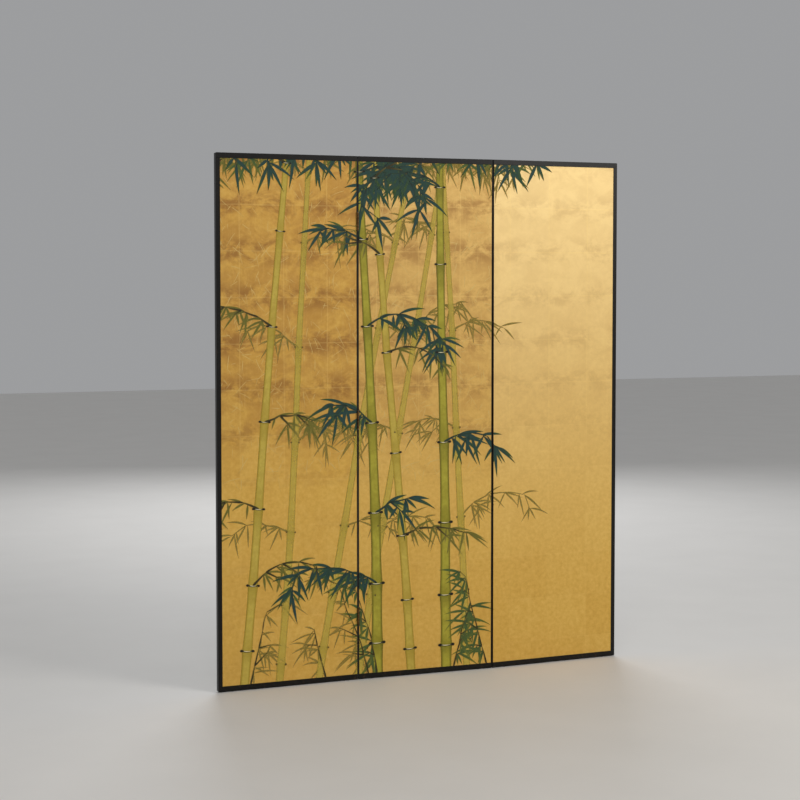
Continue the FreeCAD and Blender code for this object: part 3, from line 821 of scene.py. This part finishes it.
def lay(noted, rise):
    """Copies a blank along a stroke's path, as a flat piece with a mesh of its own."""
    kind, blank, root, bend, tip, width, tone, taper = noted
    shape = blank.copy()
    for point in shape.vertices:
        along, aside = point.co.x, point.co.y
        middle = root * (1 - along) ** 2 + bend * 2 * along * (1 - along) + tip * along**2
        heading = ((bend - root) * (1 - along) + (tip - bend) * along).normalized()
        aside = aside * width * (1 + (taper - 1) * along)
        spot = middle + Vector((-heading.y, heading.x)) * aside
        point.co = (spot.x, -rise, spot.y)
    weight = shape.attributes.new("tone", "FLOAT", "POINT")
    weight.data.foreach_set("value", [tone] * len(shape.vertices))
    piece = bpy.data.objects.new("stroke", shape)
    bpy.context.collection.objects.link(piece)
    return piece


def trim(at, facing):
    """Cuts off what lies beyond the gold, in edit mode."""
    bpy.ops.mesh.select_all(action="SELECT")
    bpy.ops.mesh.bisect(plane_co=at, plane_no=facing, clear_outer=True)


def paint_leaf(leaf, kind, noted):
    """Joins one kind of stroke on one leaf, trims it to the gold and gives it the paint's body."""
    start, end = FACE_OF_LEAF[leaf]
    put_down()
    for rise, one in noted:
        lay(one, rise).select_set(True)
    laid = bpy.context.selected_objects
    bpy.context.view_layer.objects.active = laid[0]
    if len(laid) > 1:
        bpy.ops.object.join()
    layer = bpy.context.object
    layer.name = f"{leaf}_{kind}"
    layer.data.name = layer.name
    bpy.ops.object.mode_set(mode="EDIT")
    trim((start, 0, 0), (-1, 0, 0))
    trim((end, 0, 0), (1, 0, 0))
    trim((0, 0, FACE_FOOT), (0, 0, -1))
    trim((0, 0, FACE_HEAD), (0, 0, 1))
    bpy.ops.object.mode_set(mode="OBJECT")
    if not layer.data.polygons:
        bpy.data.objects.remove(layer)
        return
    body = layer.modifiers.new("paint_body", "SOLIDIFY")
    body.thickness = PAINT_DEPTH
    body.offset = -1
    pick_up(layer)
    bpy.ops.object.modifier_apply(modifier="paint_body")
    to_row = Matrix.Translation((GOLD_LOW.x - MIDDLE_START * MM, GOLD_LOW.y, 0)) @ Matrix.Scale(MM, 4)
    layer.data.transform(to_row)
    fold = FOLDS.get("leaf_" + leaf)
    if fold:
        pin = Matrix.Translation(fold["pos_m"])
        turn = Matrix.Rotation(math.radians(-fold["range_deg"][0]), 4, "Z")
        layer.data.transform(pin @ turn @ pin.inverted())
    layer.data.materials.clear()
    layer.data.materials.append(PAINTS[kind])
    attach(layer, "leaf_" + leaf)


coats = {kind: [one for one in strokes if one[0] == kind] for kind in PAINTS}
rise = FIRST_COAT
numbered = []
for kind, noted in coats.items():
    for one in noted:
        numbered.append((rise, one))
        rise += COAT_STEP
    rise += FIRST_COAT * 0.2
for leaf, (start, end) in FACE_OF_LEAF.items():
    for kind in PAINTS:
        here = []
        for height, one in numbered:
            reach = [one[2].x, one[3].x, one[4].x]
            beyond = one[5]
            if one[0] == kind and min(reach) - beyond < end and max(reach) + beyond > start:
                here.append((height, one))
        if here:
            paint_leaf(leaf, kind, here)

# ---------------------------------------------------------------- floor, lights and camera


def pale_floor():
    """A plain matt studio floor."""
    floor = Finish("pale_floor")
    where = floor.place()
    mottle = floor.noise(where, 3.0, 4.0)
    fine = floor.noise(where, 60.0, 3.0)
    shade = floor.blend(mottle, paint(226, 224, 220), paint(234, 232, 228))
    return floor.finish(
        colour=shade, roughness=0.55 + fine * 0.1, gloss=0.25, normal=floor.raised(fine, 0.0002, 0.2)
    )


put_down()
bpy.ops.mesh.primitive_plane_add(size=30, location=(0, 0, 0))
ground = bpy.context.object
ground.name = "studio_floor"
ground.data.materials.append(pale_floor())
settle(ground)

world = bpy.data.worlds.new("studio")
bpy.context.scene.world = world
world.use_nodes = True
world.node_tree.nodes["Background"].inputs["Color"].default_value = (0.93, 0.94, 0.96, 1)
world.node_tree.nodes["Background"].inputs["Strength"].default_value = 0.36


def soft_light(name, place, target, size, power, tint):
    """One soft rectangular lamp, aimed at a spot."""
    lamp = bpy.data.lights.new(name, "AREA")
    lamp.shape = "RECTANGLE"
    lamp.size, lamp.size_y = size
    lamp.energy = power
    lamp.color = tint
    holder = bpy.data.objects.new(name, lamp)
    bpy.context.scene.collection.objects.link(holder)
    holder.location = place
    holder.rotation_euler = (Vector(target) - Vector(place)).to_track_quat("-Z", "Y").to_euler()


soft_light("window", (3.2, -4.2, 3.1), (0.5, 0, 1.3), (2.2, 1.8), 100, (1.0, 0.97, 0.92))
soft_light("front_fill", (-2.5, -5.5, 2.6), (0, 0, 0.9), (2.5, 2.5), 82, (1.0, 0.98, 0.95))
soft_light("back_fill", (1.5, 5.0, 3.2), (0, 0, 0.9), (3.0, 2.5), 105, (0.97, 0.98, 1.0))

lens = bpy.data.cameras.new("camera")
lens.sensor_width = 36
lens.lens = 76.5
lens.shift_y = -0.05
lens.clip_end = 100
camera = bpy.data.objects.new("camera", lens)
bpy.context.scene.collection.objects.link(camera)
camera.location = (-2.1165, -5.5190, 1.3919)
camera.rotation_euler = [math.radians(angle) for angle in (87.178, 0.016, -20.151)]
bpy.context.scene.camera = camera
bpy.context.scene.view_settings.view_transform = "Standard"
